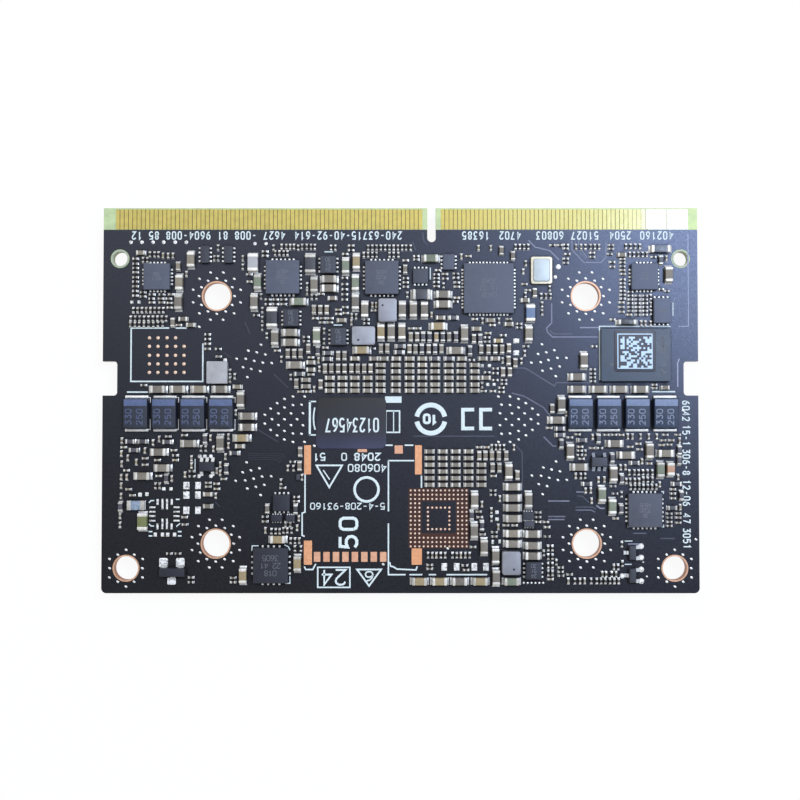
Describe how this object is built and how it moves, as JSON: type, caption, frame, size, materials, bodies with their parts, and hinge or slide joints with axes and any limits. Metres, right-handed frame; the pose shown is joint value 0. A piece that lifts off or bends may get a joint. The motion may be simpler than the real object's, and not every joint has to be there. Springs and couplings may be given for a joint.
{
  "type": "compute module card",
  "caption": "Flat compute module card with a gold contact edge, plated fixing holes and fine surface-mounted parts, shown with its processor side down.",
  "frame": {"origin": "middle of the card in plan, at the level that the power inductors stand on", "axes": "+X along the contact edge, +Y towards the contact edge, +Z out of the face with the fine components"},
  "size_m": [0.0696, 0.045, 0.0044],
  "materials": {
    "laminate": "satin",
    "solder_mask": "satin",
    "gold_plate": "satin",
    "copper": "satin",
    "tin": "satin",
    "beige_ceramic": "matte",
    "green_ceramic": "matte",
    "chip_ends": "satin",
    "black_film": "gloss",
    "small_chips": "matte",
    "polymer_case": "matte",
    "package_resin": "matte",
    "grey_resin": "matte",
    "white_label": "matte",
    "dark_label": "satin",
    "crystal_ceramic": "matte",
    "crystal_cover": "satin",
    "filter_ceramic": "satin",
    "ferrite_case": "matte",
    "choke_case": "matte",
    "coloured_ceramic": "matte",
    "substrate": "satin",
    "frame_metal": "satin",
    "silicon": "gloss",
    "coil_case": "matte"
  },
  "bodies": {
    "root": {"laminate": "laminate", "upper_mask": "solder_mask", "lower_mask": "solder_mask", "upper_contacts": "gold_plate", "lower_contacts": "gold_plate", "heat_sink_hole_plating": "copper", "mounting_hole_plating": "copper", "card_socket_lands": "copper", "ball_lands": "copper", "test_lands": "copper", "tinned_lands": "tin", "large_capacitor_bodies": "beige_ceramic", "large_capacitor_ends": "chip_ends", "green_capacitor_bodies": "green_ceramic", "green_capacitor_ends": "chip_ends", "medium_capacitor_bodies": "beige_ceramic", "medium_capacitor_ends": "chip_ends", "medium_resistor_bodies": "black_film", "medium_resistor_ends": "chip_ends", "small_capacitors": "small_chips", "small_resistors": "small_chips", "polymer_capacitor_bodies": "polymer_case", "polymer_capacitor_feet": "tin", "flash_memory": "grey_resin", "flash_label": "white_label", "card_label": "dark_label", "hub_controller": "grey_resin", "square_controllers": "grey_resin", "sensor_controllers": "grey_resin", "clock_buffer": "package_resin", "wide_pitch_controller": "package_resin", "load_switches": "package_resin", "level_shifters": "package_resin", "small_logic_chips": "package_resin", "converter_feet": "tin", "switch_feet": "tin", "supply_transistors": "package_resin", "supply_transistor_legs": "tin", "regulators": "package_resin", "regulator_legs": "tin", "dual_transistors": "package_resin", "dual_transistor_legs": "tin", "crystal_base": "crystal_ceramic", "crystal_lid": "crystal_cover", "signal_filter": "filter_ceramic", "upper_inductors": "ferrite_case", "line_choke": "choke_case", "black_chip_bodies": "package_resin", "black_chip_ends": "chip_ends", "coloured_chip_bodies": "coloured_ceramic", "coloured_chip_ends": "chip_ends", "processor_substrate": "substrate", "processor_frame": "frame_metal", "processor_die": "silicon", "memory_packages": "package_resin", "power_inductors": "coil_case", "power_controllers": "package_resin", "lower_capacitor_bodies": "beige_ceramic", "lower_capacitor_ends": "chip_ends"}
  },
  "joints": []
}
